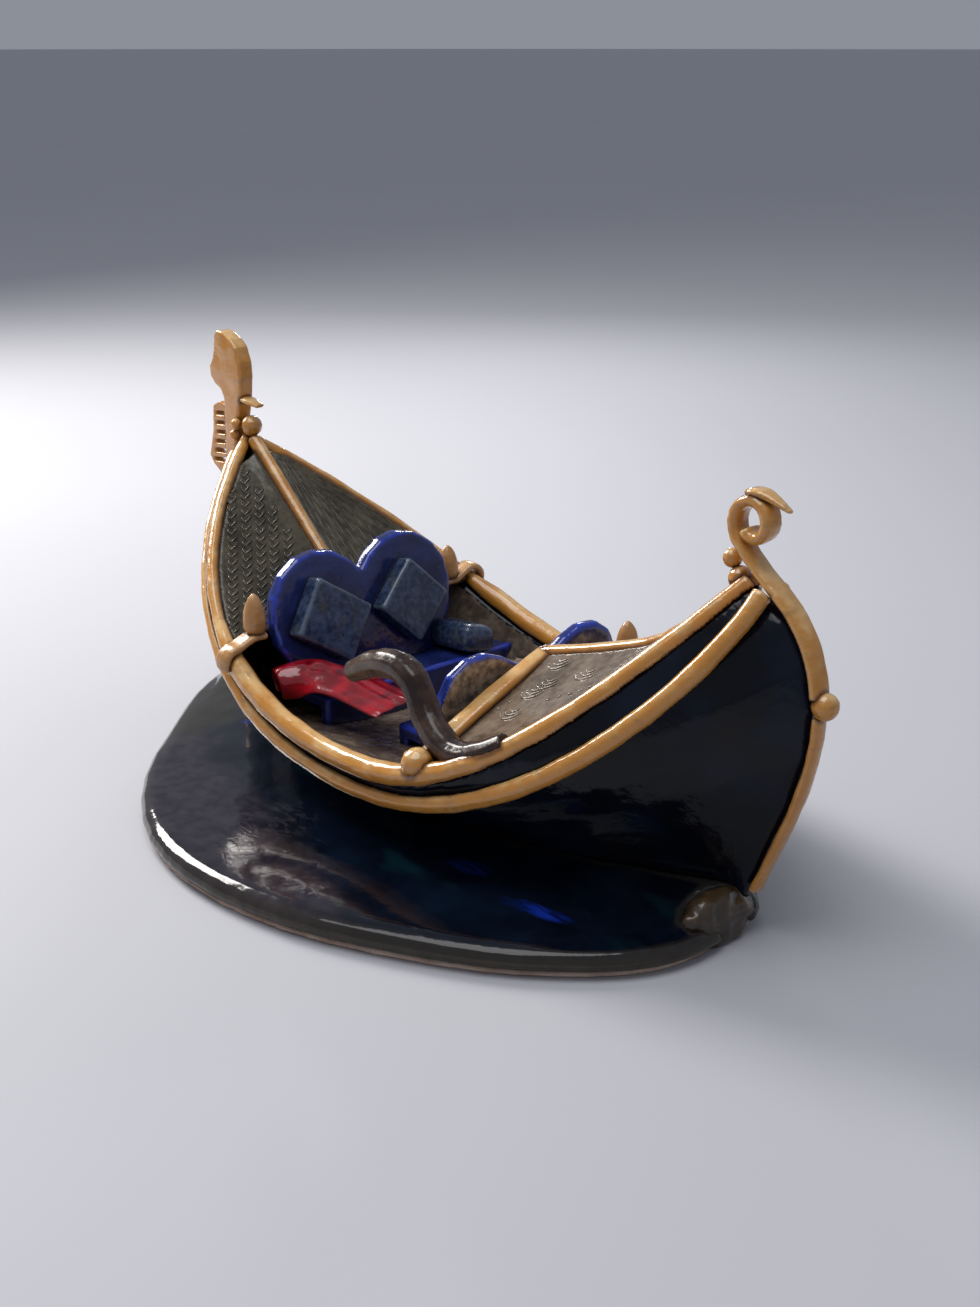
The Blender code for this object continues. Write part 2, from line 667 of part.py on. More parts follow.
def lobed_back(name, half, thickness, foot_x, foot_z, lean, material):
    """Seat back cut from a clay slab: half its outline is given from the notch round to the foot as y, z."""
    outline = [Vector((y, z)) for y, z in half] + [Vector((-y, z)) for y, z in reversed(half[1:-1])]
    rings = []
    for face in (-1, -0.72, 0.72, 1):
        inset = 1.0 if abs(face) < 1 else 0.965
        middle = Vector((0, half[-1][1] * 0.4 + half[0][1] * 0.6))
        ring = []
        for point in outline:
            y, z = middle + (point - middle) * inset
            ring.append(Vector((foot_x + (z - foot_z) * lean + face * thickness / 2, y, z)))
        rings.append(ring)
    return loft(name, rings, material)


def bench(name, front, back, top, port_end, material):
    """Seat pan with a front board down to the hull's bottom, from the starboard side to its port end."""
    thickness = BENCH_THICKNESS
    inner = front + thickness if back > front else front - thickness
    profile = [(front, BOTTOM_Z), (front, top), (back, top), (back, top - thickness), (inner, top - thickness),
               (inner, BOTTOM_Z)]
    rings = [[Vector((x, y, z)) for x, z in profile] for y in (-HALF_BEAM, port_end)]
    seat_pan = loft(name, rings, material)
    cut(seat_pan, core, "INTERSECT")
    return seat(seat_pan, hull)


HEART = [(0.0, 0.0830), (0.0055, 0.0890), (0.0130, 0.0935), (0.0220, 0.0952), (0.0320, 0.0935), (0.0405, 0.0880),
         (0.0460, 0.0800), (0.0480, 0.0700), (0.0465, 0.0600), (0.0410, 0.0500), (0.0320, 0.0410),
         (0.0200, 0.0330), (0.0, 0.0280)]
heart = lobed_back("heart_seat_back", HEART, 0.0060, 0.0600, 0.0420, 0.19, COBALT)
for word in SIDES:
    seat(panels["bow", word], heart)
seat(bow_ridge, heart)
heart_bench = seat(bench("heart_seat_bench", 0.0380, 0.0640, 0.0420, 0.0400, COBALT), heart)

LOBES = [(0.0, 0.0700), (0.0080, 0.0715), (0.0160, 0.0765), (0.0250, 0.0800), (0.0340, 0.0795), (0.0415, 0.0745),
         (0.0460, 0.0660), (0.0475, 0.0560), (0.0460, 0.0450), (0.0400, 0.0360), (0.0, 0.0300)]
stern_back = lobed_back("stern_seat_back", LOBES, 0.0050, -0.0370, 0.0350, -0.10, COBALT)
seat(stern_back, *front_bands.values(), stern_ridge)
stern_bench = seat(bench("stern_seat_bench", 0.0080, -0.0400, 0.0370, 0.0270, COBALT), stern_back)

# Cockpit floor: one dished sheet from wall to wall under both benches, through which their boards stand
FLOOR_ENDS = (-0.044, 0.063)
FLOOR_MIDDLE = 0.0255
FLOOR_RISE = 0.0125     # from the middle to the walls
FLOOR_HALF = 0.068
floor_grid = []
for i in range(9):
    x = FLOOR_ENDS[0] + (FLOOR_ENDS[1] - FLOOR_ENDS[0]) * i / 8
    floor_row = []
    for k in range(-8, 9):
        share = k / 8
        floor_row.append(Vector((x, share * FLOOR_HALF, FLOOR_MIDDLE + FLOOR_RISE * abs(share) ** 2.2)))
    floor_grid.append(floor_row)
cockpit_floor = sheet("cockpit_floor", floor_grid, 0.0030, OLIVE)
cut(cockpit_floor, core, "INTERSECT")
seat(cockpit_floor, hull, *gunwales.values(), heart_bench, stern_bench, heart, stern_back)


def cushion(name, size, centre, turn, lean, edge, material):
    """Square clay cushion with edges rounded by edge, leaned back by lean and turned in its own plane."""
    bpy.ops.mesh.primitive_cube_add(size=1.0)
    block_shape = bpy.context.object
    mesh = block_shape.data
    bpy.data.objects.remove(block_shape, do_unlink=True)
    mesh.transform(Matrix.Diagonal((*size, 1.0)))
    mesh.transform(Matrix.Rotation(radians(turn), 4, "X"))
    mesh.transform(Matrix.Rotation(radians(lean), 4, "Y"))
    mesh.transform(Matrix.Translation(centre))
    piece = place(name, mesh, material)
    soft = piece.modifiers.new("soft_edges", "BEVEL")
    soft.width = edge
    soft.segments = 3
    return settle(piece)


cushion_port = cushion("cushion_port", (0.0090, 0.0300, 0.0260), (0.0575, 0.0226, 0.0680), 34, 12, 0.0012, SLATE)
seat(cushion_port, heart, heart_bench)
cushion_starboard = cushion("cushion_starboard", (0.0090, 0.0262, 0.0262), (0.0575, -0.0205, 0.0676), 45, 12, 0.0012,
                            SLATE)
seat(cushion_starboard, heart, heart_bench, cushion_port)
pillow = cushion("pillow", (0.0300, 0.0180, 0.0120), (0.0490, -0.0420, 0.0482), 14, 6, 0.0045, SLATE)
seat(pillow, heart, heart_bench, cushion_starboard, hull)

# Red cloth: a clay sheet rolled open at its bow end, lying over the bench's edge and down towards the floor
cloth_line = smooth_line([(0.0600, 0.0460, 0.0485), (0.0500, 0.0400, 0.0480), (0.0390, 0.0360, 0.0465),
                          (0.0270, 0.0330, 0.0445), (0.0150, 0.0320, 0.0420), (0.0050, 0.0310, 0.0400)], 14)
cloth_grid = []
for i, point in enumerate(cloth_line):
    share = i / (len(cloth_line) - 1)
    curl = radians(215 * (1 - share) ** 1.5 + 25)
    width = 0.0300 - 0.0060 * share
    radius = width / curl
    along = cloth_line[min(i + 1, len(cloth_line) - 1)] - cloth_line[max(i - 1, 0)]
    across = along.cross(Vector((0, 0, 1))).normalized()
    up = across.cross(along).normalized()
    row = []
    for k in range(9):
        turn = curl * (k / 8 - 0.5)
        row.append(point + across * (sin(turn) * radius) + up * ((cos(turn) - 1) * radius + 0.006))
    cloth_grid.append(row)
cloth = sheet("red_cloth", cloth_grid, 0.0024, RED)
seat(cloth, heart_bench, heart, cushion_port, hull, stern_bench)

# Clay left at the stern foot, squeezed between the edge band and the slab
bpy.ops.mesh.primitive_uv_sphere_add(segments=14, ring_count=9, radius=1.0)
lump = bpy.context.object
lump_mesh = lump.data
bpy.data.objects.remove(lump, do_unlink=True)
lump_mesh.transform(Matrix.Translation((-0.1505, 0.0130, 0.0075)) @ Matrix.Diagonal((0.0068, 0.0180, 0.0110, 1.0)))
for vertex in lump_mesh.vertices:
    vertex.co.z = max(vertex.co.z, 0.0)
foot_lump = place("stern_foot_lump", lump_mesh, OCHRE)
cut(foot_lump, seat_block)
seat(foot_lump, lower)
seat(slab, foot_lump)
seat(foot, foot_lump)

# Origin: the middle of the figurine's footprint box, on the surface that it stands on
corners = [piece.matrix_world @ Vector(corner) for piece in pieces.objects if piece.type == "MESH"
           for corner in piece.bound_box]
root.location.x = -(min(c.x for c in corners) + max(c.x for c in corners)) / 2
root.location.y = -(min(c.y for c in corners) + max(c.y for c in corners)) / 2
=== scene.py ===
import math
import bmesh
import bpy
import numpy as np
from mathutils import Matrix, Vector, noise
from mathutils.bvhtree import BVHTree


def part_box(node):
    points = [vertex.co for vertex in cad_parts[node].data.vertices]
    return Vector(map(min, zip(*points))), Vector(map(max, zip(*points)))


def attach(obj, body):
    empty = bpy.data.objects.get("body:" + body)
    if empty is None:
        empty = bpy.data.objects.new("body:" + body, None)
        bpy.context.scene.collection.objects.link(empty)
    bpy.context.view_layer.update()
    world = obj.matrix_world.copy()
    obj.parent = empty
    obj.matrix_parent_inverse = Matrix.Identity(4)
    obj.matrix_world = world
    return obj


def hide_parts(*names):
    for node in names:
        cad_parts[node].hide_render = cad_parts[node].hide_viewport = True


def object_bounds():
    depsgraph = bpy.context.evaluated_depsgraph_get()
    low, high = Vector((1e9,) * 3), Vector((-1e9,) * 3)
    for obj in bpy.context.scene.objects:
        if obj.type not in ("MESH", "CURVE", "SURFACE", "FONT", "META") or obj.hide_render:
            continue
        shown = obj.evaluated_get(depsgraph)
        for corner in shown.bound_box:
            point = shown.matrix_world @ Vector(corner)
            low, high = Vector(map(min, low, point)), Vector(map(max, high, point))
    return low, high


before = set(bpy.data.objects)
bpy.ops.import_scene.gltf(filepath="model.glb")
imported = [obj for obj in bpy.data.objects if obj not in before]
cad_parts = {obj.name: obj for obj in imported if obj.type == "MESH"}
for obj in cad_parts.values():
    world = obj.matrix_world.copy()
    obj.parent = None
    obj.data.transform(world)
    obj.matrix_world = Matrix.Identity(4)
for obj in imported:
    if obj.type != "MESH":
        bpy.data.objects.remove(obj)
cad_low, cad_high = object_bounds()


# The figurine is seen from its stern port quarter, from a little above the rim of the boat and
# about 0.7 m away. Places on it are counted from the middle of the boat's keel line.
def placed(name, data):
    """A new object in the scene."""
    made = bpy.data.objects.new(name, data)
    bpy.context.scene.collection.objects.link(made)
    return made


slab_reach = 0.173
hull_low, hull_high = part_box("hull_shell")
boat = Vector((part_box("base_slab")[1].x - slab_reach, (hull_low.y + hull_high.y) / 2, 0))
turn = math.radians(228)
tilt = math.radians(20)
camera_place = boat + Vector((-0.4909, 0.4262, 0.2993))
back = Vector((math.sin(turn) * math.cos(tilt), -math.cos(turn) * math.cos(tilt), math.sin(tilt)))
right = Vector((math.cos(turn), math.sin(turn), 0))
camera_data = bpy.data.cameras.new("camera")
camera_data.sensor_fit = "HORIZONTAL"
camera_data.sensor_width = 36
camera_data.lens = 62.45
camera = placed("camera", camera_data)
camera_turn = Matrix((right, back.cross(right), back)).transposed().to_4x4()
camera.matrix_world = Matrix.Translation(camera_place) @ camera_turn
bpy.context.scene.camera = camera


# The base is a slab of clay, cut freehand to a wave-like outline and glazed on its top and edge.
# Its foot is left bare, and a lump of clay holds the boat's stern to it. Every piece is pressed
# on while damp, so edges are soft and the glaze thins on them and pools along the joints,
# where painted shade darkens it too.

# In metres: points within weld_reach are one point, a point that stands full_crest proud is a
# full crest, and a piece within joint_reach makes a joint
weld_reach = 0.00002
full_crest = 0.00020
joint_reach = 0.004


def set_hard(piece):
    """Keeps what the modifiers make of a piece as its plain mesh."""
    bpy.context.view_layer.update()
    shaped = piece.evaluated_get(bpy.context.evaluated_depsgraph_get())
    piece.data = bpy.data.meshes.new_from_object(shaped)
    piece.modifiers.clear()


def skin(mesh):
    """The places of a mesh's points and their outward directions, as two tables."""
    points = np.zeros(len(mesh.vertices) * 3)
    outward = np.zeros(len(mesh.vertices) * 3)
    mesh.vertices.foreach_get("co", points)
    mesh.vertices.foreach_get("normal", outward)
    return points.reshape(-1, 3), outward.reshape(-1, 3)


def surface(mesh):
    """A mesh's surface, for finding where a ray meets it."""
    corners = [vertex.co for vertex in mesh.vertices]
    return BVHTree.FromPolygons(corners, [face.vertices for face in mesh.polygons])


def noted(mesh, name, values):
    """Writes one number for each point of a mesh, which its glaze reads by this name."""
    mesh.attributes.new(name, "FLOAT", "POINT").data.foreach_set("value", values)


def fired(node, grain, rounds, swell, wobble, wave):
    """A CAD piece as it leaves the kiln: soft edges, an uneven skin, and grown onto its neighbours."""
    damp = bmesh.new()
    damp.from_mesh(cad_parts[node].data)
    bmesh.ops.remove_doubles(damp, verts=damp.verts, dist=weld_reach)
    mesh = bpy.data.meshes.new(node)
    damp.to_mesh(mesh)
    damp.free()
    piece = placed(node + "_fired", mesh)
    remesh = piece.modifiers.new("grain", "REMESH")
    remesh.mode = "VOXEL"
    remesh.voxel_size = grain
    smooth = piece.modifiers.new("smooth", "SMOOTH")
    smooth.factor = 0.5
    smooth.iterations = rounds
    set_hard(piece)
    mesh = piece.data
    mesh.materials.clear()
    mesh.shade_smooth()
    points, outward = skin(mesh)
    unevenness = np.array([noise.noise(Vector(point) / wave) for point in points])
    points += outward * (swell + wobble * unevenness)[:, None]
    points = np.clip(points, np.array(cad_low), np.array(cad_high))
    mesh.vertices.foreach_set("co", points.ravel())
    mesh.update()
    marked(piece, node)
    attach(piece, "root")
    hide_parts(node)
    return piece


def marked(piece, node):
    """Notes on each point of a piece how far it is a crest or a hollow, and how near the next piece is."""
    mesh = piece.data
    points, outward = skin(mesh)
    edges = np.zeros(len(mesh.edges) * 2, int)
    mesh.edges.foreach_get("vertices", edges)
    edges = edges.reshape(-1, 2)
    reach = np.bincount(edges.ravel(), minlength=len(points))[:, None]

    def eased(values, times):
        """Each value drawn to the mean of its neighbours, so many times over."""
        for _ in range(times):
            total = np.zeros_like(values)
            np.add.at(total, edges[:, 0], values[edges[:, 1]])
            np.add.at(total, edges[:, 1], values[edges[:, 0]])
            values = (values + total / reach) / 2
        return values

    flatter = eased(points, 6)
    rise = ((points - flatter) * outward).sum(axis=1, keepdims=True)
    rise = eased(rise, 2).ravel()
    crest = np.clip((rise - np.median(rise)) / full_crest, -1, 1)
    noted(mesh, "crest", crest)
    near = others(node)
    joint = np.zeros(len(points))
    for number, point in enumerate(points):
        distance = near.find_nearest(Vector(point), joint_reach)[3]
        if distance is not None:
            joint[number] = 1 - distance / joint_reach
    noted(mesh, "joint", joint)


def others(node):
    """The surfaces of every piece but this one, for finding where its glaze meets them."""
    corners = []
    faces = []
    for name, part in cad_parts.items():
        if name == node:
            continue
        start = len(corners)
        corners.extend(vertex.co.copy() for vertex in part.data.vertices)
        faces.extend([start + index for index in face.vertices] for face in part.data.polygons)
    return BVHTree.FromPolygons(corners, faces)


class Reading:
    """One output in a node tree; a sum on it adds the nodes that work it out."""

    def __init__(self, tree, socket):
        self.tree = tree
        self.socket = socket

    def node(self, kind, settings, values, output=0):
        made = self.tree.nodes.new(kind)
        for name, setting in settings.items():
            setattr(made, name, setting)
        for name, value in values.items():
            if isinstance(value, Reading):
                self.tree.links.new(value.socket, made.inputs[name])
            else:
                made.inputs[name].default_value = value
        return Reading(self.tree, made.outputs[output])

    def worked(self, operation, first, second):
        return self.node("ShaderNodeMath", {"operation": operation}, {0: first, 1: second})

    def __add__(self, other):
        return self.worked("ADD", self, other)

    def __radd__(self, other):
        return self.worked("ADD", other, self)

    def __sub__(self, other):
        return self.worked("SUBTRACT", self, other)

    def __rsub__(self, other):
        return self.worked("SUBTRACT", other, self)

    def __mul__(self, other):
        return self.worked("MULTIPLY", self, other)

    def __rmul__(self, other):
        return self.worked("MULTIPLY", other, self)

    def __truediv__(self, other):
        return self.worked("DIVIDE", self, other)

    def __rtruediv__(self, other):
        return self.worked("DIVIDE", other, self)

    def __neg__(self):
        return self.worked("MULTIPLY", self, -1)

    def note(self, name):
        """The number of this name that the mesh carries for each of its points."""
        return self.node("ShaderNodeAttribute", {"attribute_name": name}, {}, 2)

    def axis(self, number):
        """One of the three numbers of a place or a direction."""
        return self.node("ShaderNodeSeparateXYZ", {}, {0: self}, number)

    def between(self, low, high):
        """0 below low, 1 above high, and a soft rise from one to the other."""
        ramp = {"interpolation_type": "SMOOTHSTEP"}
        return self.node("ShaderNodeMapRange", ramp, {"Value": self, "From Min": low, "From Max": high})

    def cloud(self, size, detail, stretch=(1, 1, 1)):
        """Soft patches of about this size in metres; self is a place on the piece."""
        placed = self.node("ShaderNodeMapping", {}, {"Vector": self, "Scale": stretch})
        return self.node("ShaderNodeTexNoise", {}, {"Vector": placed, "Scale": 1 / size, "Detail": detail})

    def paint(self, under, over):
        """The colour under, covered by the colour over as far as self says."""
        return self.node("ShaderNodeMix", {"data_type": "RGBA"}, {0: self, 6: under, 7: over}, 2)


def rgb(red, green, blue):
    return (red, green, blue, 1)


def start_material(name):
    """A new material, its shader, and the reading of the place on the piece."""
    material = bpy.data.materials.new(name)
    material.use_nodes = True
    tree = material.node_tree
    shader = tree.nodes["Principled BSDF"]
    place = Reading(tree, tree.nodes.new("ShaderNodeTexCoord").outputs["Object"])
    return material, shader, place


def end_material(shader, colour, roughness, relief, depth, coat):
    """Joins the colour, the roughness and the skin's small relief to the shader."""
    tree = colour.tree
    tree.links.new(colour.socket, shader.inputs["Base Color"])
    if isinstance(roughness, Reading):
        tree.links.new(roughness.socket, shader.inputs["Roughness"])
    else:
        shader.inputs["Roughness"].default_value = roughness
    bump = relief.node("ShaderNodeBump", {}, {"Height": relief, "Distance": depth, "Strength": 1.0})
    tree.links.new(bump.socket, shader.inputs["Normal"])
    shader.inputs["Coat Weight"].default_value = coat
    shader.inputs["Coat Roughness"].default_value = 0.04
    shader.inputs["IOR"].default_value = 1.5


def sea_glaze():
    """Near-black blue with a purple-brown outer band, a green-brown rim, cobalt strokes, and ripples with
    painted glints.
    """
    material, shader, place = start_material("sea_glaze")
    along = (place.axis(0) - boat.x) * 1000
    across = (place.axis(1) - boat.y) * 1000
    height = place.axis(2) * 1000
    cloud = place.cloud(0.030, 5)
    fine = place.cloud(0.006, 4)
    colour = cloud.between(0.35, 0.65).paint(rgb(0.0012, 0.0022, 0.006), rgb(0.003, 0.007, 0.016))
    teal = place.cloud(0.018, 2, (0.35, 1, 1)).between(0.60, 0.74)
    colour = (teal * 0.6).paint(colour, rgb(0.004, 0.022, 0.030))
    outer = (across - 60 + (along - 84) * 0.33 + (cloud - 0.5) * 40).between(-4, 14)
    shade = fine.between(0.3, 0.7).paint(rgb(0.014, 0.011, 0.018), rgb(0.034, 0.027, 0.034))
    colour = (outer * 0.85).paint(colour, shade)
    far = (along + (cloud - 0.5) * 30).between(96, 116)
    colour = (far * 0.8).paint(colour, rgb(0.030, 0.026, 0.016))
    streak = place.cloud(0.0022, 3, (0.16, 1, 1)).between(0.36, 0.62)
    # Each stroke's middle in mm from the boat's middle, its half length and half width, and how strong it is
    strokes = ((-110, 62, 17, 4.2, 1.0), (96, 41, 6, 3, 0.5), (-72, 59, 12, 5, 0.22))
    for x, y, long, wide, strength in strokes:
        turned_x = (along - x) * 0.96 + (across - y) * 0.28
        turned_y = (across - y) * 0.96 - (along - x) * 0.28 + (cloud - 0.5) * 6
        away = (turned_x * turned_x) / (long * long) + (turned_y * turned_y) / (wide * wide)
        stroke = (1 - away.between(0.0, 1.0)) * (0.15 + streak)
        colour = (stroke * strength).paint(colour, rgb(0.008, 0.030, 0.30))
    rim = (1 - (height + (fine - 0.5) * 3).between(5.0, 9.0)) * 0.85
    rim_shade = fine.between(0.35, 0.7).paint(rgb(0.014, 0.011, 0.005), rgb(0.050, 0.036, 0.016))
    colour = rim.paint(colour, rim_shade)
    colour = (place.note("crest").between(0.25, 0.9) * 0.5).paint(colour, rgb(0.045, 0.036, 0.026))
    shader.inputs["Specular IOR Level"].default_value = 0.32
    ripple = place.cloud(0.0060, 2, (0.5, 1.4, 1))
    ripple = ripple.between(0.45, 0.49) * (1 - ripple.between(0.51, 0.56))
    # Each patch of ripples: its middle and its size in mm
    for x, y, size in ((12, 88, 20), (8, 108, 12)):
        away = ((along - x) * (along - x) + (across - y) * (across - y)) / (size * size)
        # Painted glints: the ripple lines are painted a paler grey
        colour = ((1 - away.between(0.2, 1.2)) * ripple * 0.35).paint(colour, rgb(0.045, 0.040, 0.048))
    rippled = (1 - away.between(0.3, 4.0)) * ripple
    relief = place.cloud(0.012, 3) + fine * 0.1 + rippled * 0.12
    end_material(shader, colour, 0.05 + fine * 0.08, relief, depth=0.00018, coat=0.15)
    return material


def bare_clay():
    """Pinkish-buff stoneware with dark specks, dry and matt."""
    material, shader, place = start_material("bare_clay")
    cloud = place.cloud(0.012, 5)
    speck = place.cloud(0.0012, 2).between(0.68, 0.74)
    colour = cloud.between(0.3, 0.7).paint(rgb(0.40, 0.27, 0.20), rgb(0.62, 0.47, 0.38))
    colour = (speck * 0.6).paint(colour, rgb(0.12, 0.07, 0.045))
    end_material(shader, colour, 0.75 + cloud * 0.15, place.cloud(0.002, 4), depth=0.0002, coat=0.0)
    return material


base_foot = fired("base_foot", grain=0.0013, rounds=4, swell=0.0001, wobble=0.00015, wave=0.012)
base_foot.data.materials.append(bare_clay())
base_slab = fired("base_slab", grain=0.0013, rounds=8, swell=0.0004, wobble=0.0002, wave=0.022)
base_slab.data.materials.append(sea_glaze())


def stained_clay(name, pale, mid, dark, gloss, coat):
    """A clay or honey glaze that thins to pale on crests, is painted paler where it faces up as if lit from
    above, and stains dark in hollows and joints, where it pools and where shade is painted in along the
    joints.
    """
    material, shader, place = start_material(name)
    crest = place.note("crest")
    joint = place.note("joint")
    cloud = place.cloud(0.011, 4)
    streak = place.cloud(0.004, 4, (0.5, 0.5, 1))
    fine = place.cloud(0.0012, 3)
    outward = place.node("ShaderNodeNewGeometry", {}, {}, 1)
    # Painted light: faces that look up are painted paler, as if lit from above
    thinned_and_top_lit = (outward.axis(2) + (cloud - 0.5) * 1.2).between(0.35, 1.1) * 0.55
    mottled = (cloud * 0.5 + streak * 0.5).between(0.40, 0.72) * 0.45
    colour = (mottled + thinned_and_top_lit).between(0, 1).paint(mid, pale)
    colour = (crest.between(0.15, 0.85) * 0.55).paint(colour, pale)
    # Darker in hollows, where the glaze pools, and along the joints, where it pools and painted shade falls
    pooled_and_shaded = (joint + (streak - 0.5) * 0.5).between(0.35, 0.95) * 0.75 + (-crest).between(0.15, 0.9) * 0.6
    colour = pooled_and_shaded.between(0.0, 1.0).paint(colour, dark)
    burnt = rgb(mid[0] * 0.45, mid[1] * 0.45, mid[2] * 0.45)
    colour = (streak.between(0.52, 0.78) * 0.55).paint(colour, burnt)
    colour = ((fine - 0.5) * 0.6).between(0.06, 0.2).paint(colour, mid)
    end_material(shader, colour, gloss + fine * 0.08, streak + fine * 0.25, depth=0.0004, coat=coat)
    return material


lump_clay = stained_clay("lump_clay", pale=rgb(0.12, 0.070, 0.034), mid=rgb(0.040, 0.026, 0.014),
                         dark=rgb(0.030, 0.020, 0.011), gloss=0.2, coat=0.2)
stern_foot_lump = fired("stern_foot_lump", grain=0.0007, rounds=3, swell=0.0006, wobble=0.0016, wave=0.006)
stern_foot_lump.data.materials.append(lump_clay)


# The hull is built up from slabs about 5 mm thick and hollow. Outside it has the same deep blue
# glaze as the base; inside, a brown-grey glaze lies thick and shiny on the clay.
def hull_glaze():
    """Blue-black outside and mottled brown-grey inside, told apart by the shell's own attribute."""
    material, shader, place = start_material("hull_glaze")
    cloud = place.cloud(0.035, 4)
    fine = place.cloud(0.005, 4)
    outer = cloud.between(0.4, 0.7).paint(rgb(0.0012, 0.0020, 0.0048), rgb(0.0032, 0.0075, 0.019))
    brown = place.cloud(0.020, 3).between(0.52, 0.75)
    outer = (brown * 0.5).paint(outer, rgb(0.009, 0.007, 0.006))
    mottled = (cloud * 0.5 + fine * 0.5).between(0.36, 0.64)
    inner = mottled.paint(rgb(0.060, 0.043, 0.030), rgb(0.19, 0.14, 0.098))
    colour = place.note("inside").between(0.3, 0.7).paint(outer, inner)
    # Darker near the other pieces: pooled glaze and painted shade where they meet
    colour = (place.note("joint").between(0.6, 1.0) * 0.5).paint(colour, rgb(0.012, 0.009, 0.007))
    shader.inputs["Specular IOR Level"].default_value = 0.22
    relief = place.cloud(0.010, 3) + fine * 0.2
    end_material(shader, colour, 0.10 + fine * 0.10, relief, depth=0.0005, coat=0.05)
    return material


hull = fired("hull_shell", grain=0.0013, rounds=8, swell=0.0001, wobble=0.0004, wave=0.018)
hull_walls = surface(hull.data)
# A point lies inside where a wall stands on both sides of it
clear_of_skin = 0.002
within = np.zeros(len(hull.data.vertices))
for vertex in hull.data.vertices:
    start = vertex.co + vertex.normal * clear_of_skin
    to_port = hull_walls.ray_cast(start, Vector((0, 1, 0)))[0]
    to_starboard = hull_walls.ray_cast(start, Vector((0, -1, 0)))[0]
    if to_port and to_starboard:
        within[vertex.index] = 1
noted(hull.data, "inside", within)
hull.data.materials.append(hull_glaze())


def floor_glaze():
    """Thick brown-grey glaze that lies wavy and very shiny in the cockpit."""
    material, shader, place = start_material("floor_glaze")
    cloud = place.cloud(0.022, 4)
    fine = place.cloud(0.004, 4)
    mottled = (cloud * 0.6 + fine * 0.4).between(0.34, 0.66)
    colour = mottled.paint(rgb(0.13, 0.085, 0.055), rgb(0.32, 0.245, 0.18))
    # Darker near the other pieces: pooled glaze and painted shade where they meet
    colour = (place.note("joint").between(0.7, 1.0) * 0.4).paint(colour, rgb(0.030, 0.020, 0.013))
    waves = place.cloud(0.008, 2) + place.cloud(0.003, 2) * 0.4
    end_material(shader, colour, 0.05 + fine * 0.06, waves, depth=0.0026, coat=0.8)
    return material


cockpit_floor = fired("cockpit_floor", grain=0.0009, rounds=6, swell=0.0004, wobble=0.0006, wave=0.012)
cockpit_floor.data.materials.append(floor_glaze())


# Rolls of clay run along both rims and along the sides below them, up the stem and down the
# sternpost. They carry a honey glaze that is pale on its crests and painted paler where it faces up,
# as if lit from above, and nearly brown in the corners, where it pools and shade is painted in.
amber_glaze = stained_clay("amber_glaze", pale=rgb(0.78, 0.50, 0.21), mid=rgb(0.56, 0.235, 0.035),
                           dark=rgb(0.13, 0.042, 0.008), gloss=0.07, coat=0.7)
for roll in ("gunwale_port", "gunwale_starboard", "strake_port", "strake_starboard", "stem_band"):
    piece = fired(roll, grain=0.0008, rounds=5, swell=0.00035, wobble=0.0004, wave=0.014)
    piece.data.materials.append(amber_glaze)
for trim in ("sternpost_band", "stern_lower_band", "scroll_leaf", "stern_edge_ball", "stern_tip_ball_lower",
             "stern_tip_ball_upper", "gunwale_knot"):
    piece = fired(trim, grain=0.0005, rounds=5, swell=0.0003, wobble=0.0003, wave=0.008)
    piece.data.materials.append(amber_glaze)


# The bow iron is a thick cut-out of clay with a small comb in front and a tooth behind, held to
# the hull's tip by a cluster of three pressed-on balls. It has the same honey glaze as the rolls.
for trim in ("ferro_blade", "ferro_comb", "ferro_tooth", "bow_ball", "bow_ball_small_upper",
             "bow_ball_small_lower"):
    piece = fired(trim, grain=0.0004, rounds=5, swell=0.00025, wobble=0.0003, wave=0.008)
    piece.data.materials.append(amber_glaze)


# Both ends are decked with thin slabs that meet on a ridge, and flat strips cover the ridges and
# the front of the stern deck. The slabs are stamped or combed while damp, and glazed olive-grey.
def olive_glaze():
    """Olive-grey to brown and clouded, darker along the joints, where the glaze lies thick and shade is
    painted in.
    """
    material, shader, place = start_material("olive_glaze")
    cloud = place.cloud(0.014, 5)
    fine = place.cloud(0.003, 4)
    mottled = cloud * 0.6 + fine * 0.4
    aft = (place.axis(0) - boat.x).between(0.02, -0.02)
    olive_shade = mottled.between(0.36, 0.64).paint(rgb(0.040, 0.032, 0.018), rgb(0.100, 0.084, 0.052))
    brown_shade = mottled.between(0.34, 0.66).paint(rgb(0.090, 0.062, 0.040), rgb(0.230, 0.175, 0.125))
    colour = aft.paint(olive_shade, brown_shade)
    colour = (place.note("crest").between(0.2, 0.9) * 0.4).paint(colour, rgb(0.20, 0.17, 0.12))
    # Nearly black along the joints: pooled glaze and painted shade where other pieces meet the decks
    colour = (place.note("joint").between(0.3, 1.0) * 0.7).paint(colour, rgb(0.020, 0.015, 0.009))
    shader.inputs["Specular IOR Level"].default_value = 0.4
    relief = place.cloud(0.004, 3) + fine * 0.3
    end_material(shader, colour, 0.19 + fine * 0.12 - aft * 0.10, relief, depth=0.0003, coat=0.15)
    return material


olive = olive_glaze()
deck_tops = {}
for panel in ("bow_deck_port", "bow_deck_starboard", "stern_deck_port", "stern_deck_starboard"):
    piece = fired(panel, grain=0.0008, rounds=4, swell=0.0003, wobble=0.0002, wave=0.015)
    piece.data.materials.append(olive)
    deck_tops[panel] = surface(piece.data)


def laid_on(top, plan):
    """Points given in plan, in mm from the boat's middle, dropped onto a surface; misses are left out."""
    laid = []
    for x, y in plan:
        above = Vector((boat.x + x / 1000, boat.y + y / 1000, 0.3))
        spot, outward, _, _ = top.ray_cast(above, Vector((0, 0, -1)))
        if spot:
            laid.append((spot, outward))
    return laid


def directed(mesh, name, ways):
    """Writes one direction for each point of a mesh, which a tree reads by this name."""
    mesh.attributes.new(name, "FLOAT_VECTOR", "POINT").data.foreach_set("vector", np.array(ways).ravel())


